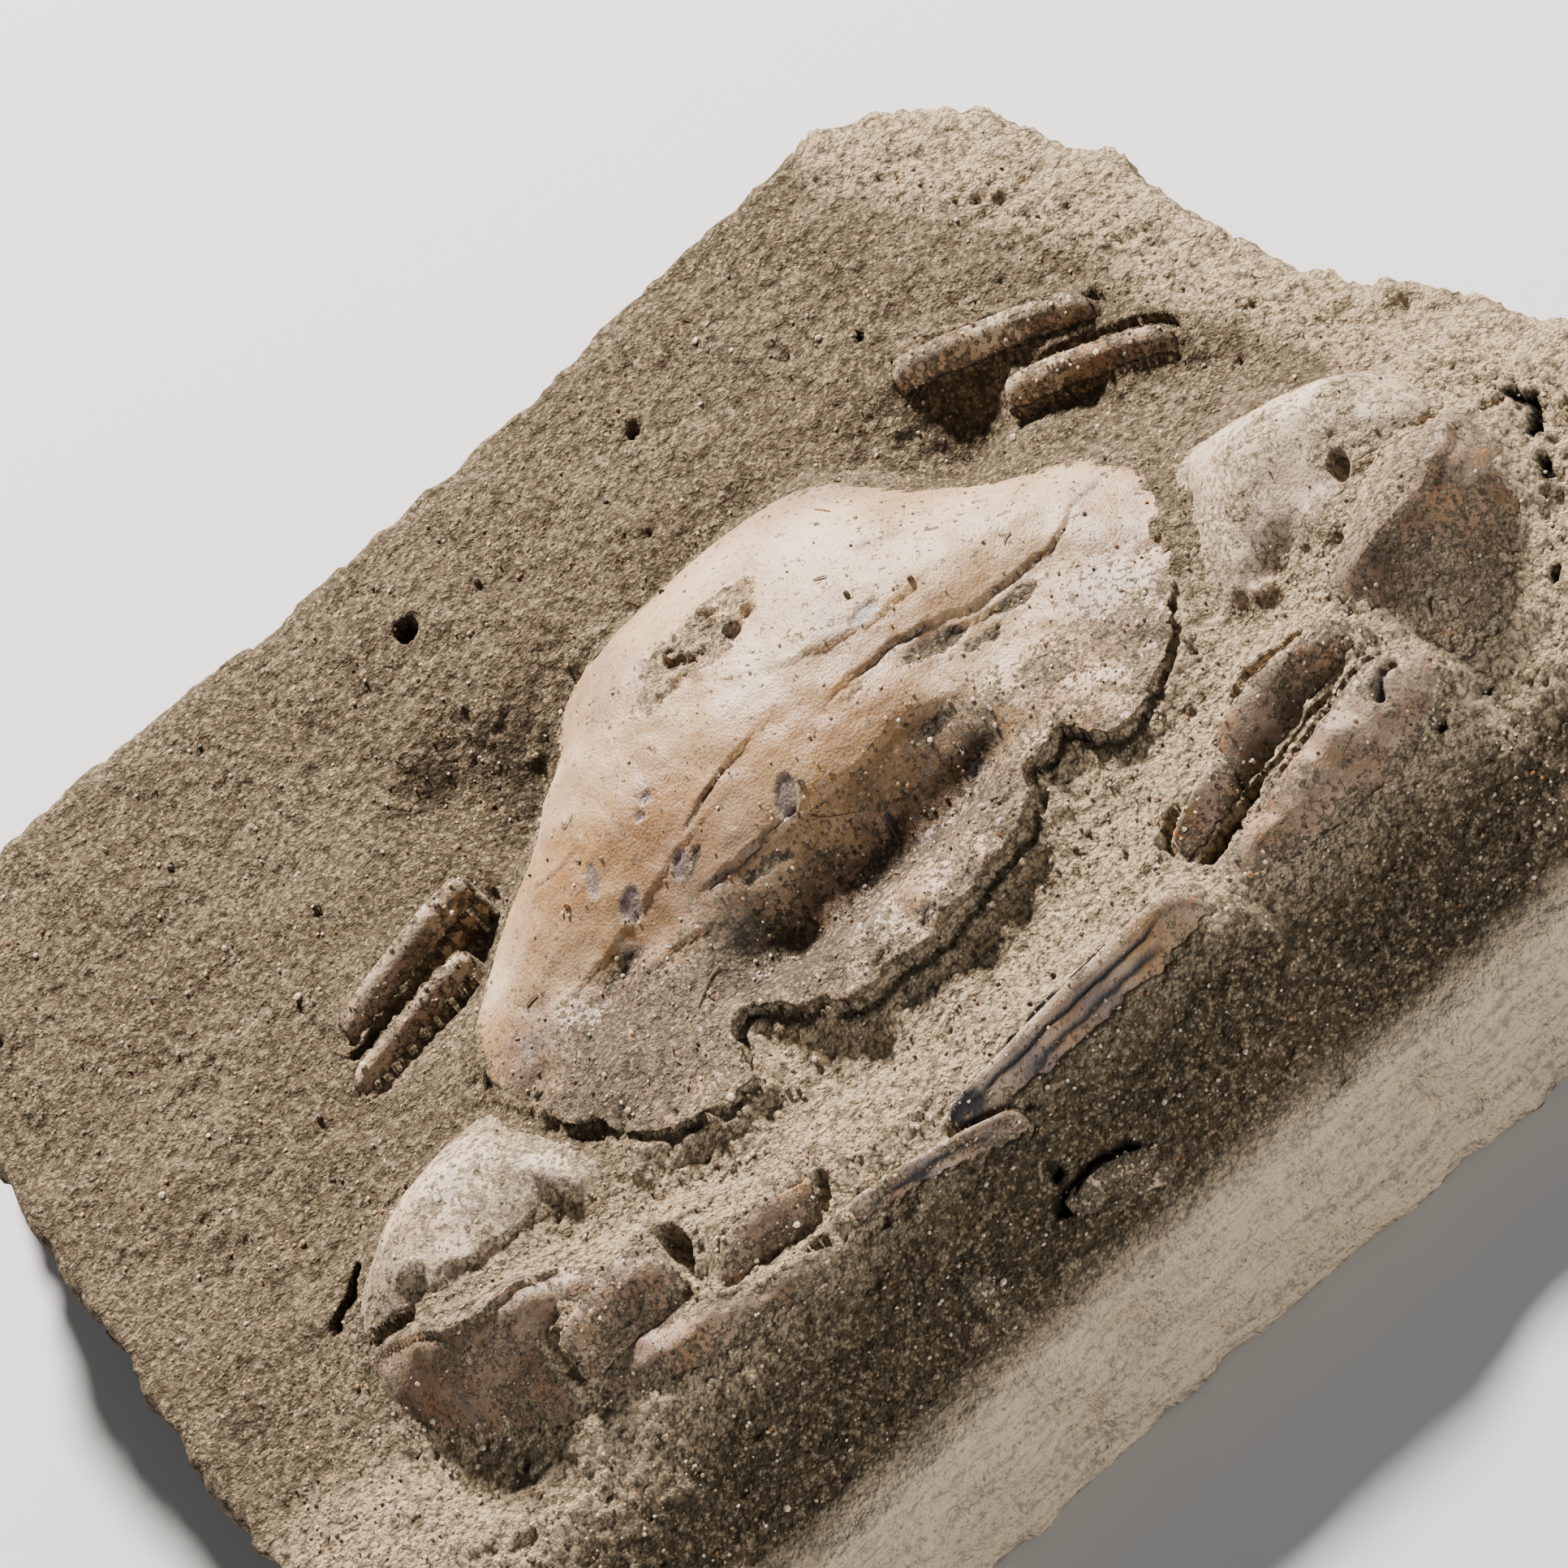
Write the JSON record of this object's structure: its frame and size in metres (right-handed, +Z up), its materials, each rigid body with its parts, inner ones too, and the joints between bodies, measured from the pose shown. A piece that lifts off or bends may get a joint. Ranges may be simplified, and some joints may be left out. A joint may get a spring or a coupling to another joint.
{
  "type": "crab fossil on a stone slab",
  "caption": "Fossil swimming crab in relief, with carapace, claws and leg segments set in a broken block of sandy stone that lies flat.",
  "frame": {"origin": "centre of the block's footprint, on its underside", "axes": "+Z up out of the face that shows the crab, +X across the crab towards its left side, +Y from its front towards its tail"},
  "size_m": [0.1698, 0.1336, 0.0407],
  "materials": {
    "sandstone": "rough sandy mudstone with open pitted grain",
    "shell": "mineralised shell, finely granular with a faint gloss",
    "claw_shell": "mineralised claw shell, brownish pink and partly dusted with sand",
    "leg_shell": "mineralised leg shell, pale tan and dull"
  },
  "bodies": {
    "root": {"stone": "sandstone", "carapace": "shell", "right_wrist": "shell", "right_palm": "claw_shell", "right_upper_finger": "claw_shell", "right_finger_end": "claw_shell", "right_lower_finger": "claw_shell", "right_thin_finger": "claw_shell", "left_wrist": "shell", "left_palm": "claw_shell", "left_upper_finger": "claw_shell", "left_finger_stub": "claw_shell", "left_lower_finger": "claw_shell", "left_long_finger": "claw_shell", "right_leg_rear": "leg_shell", "right_leg_front": "leg_shell", "left_leg_rear": "leg_shell", "left_leg_front": "leg_shell", "flank_shell_piece": "leg_shell", "flank_leg_stub": "leg_shell"}
  },
  "joints": []
}
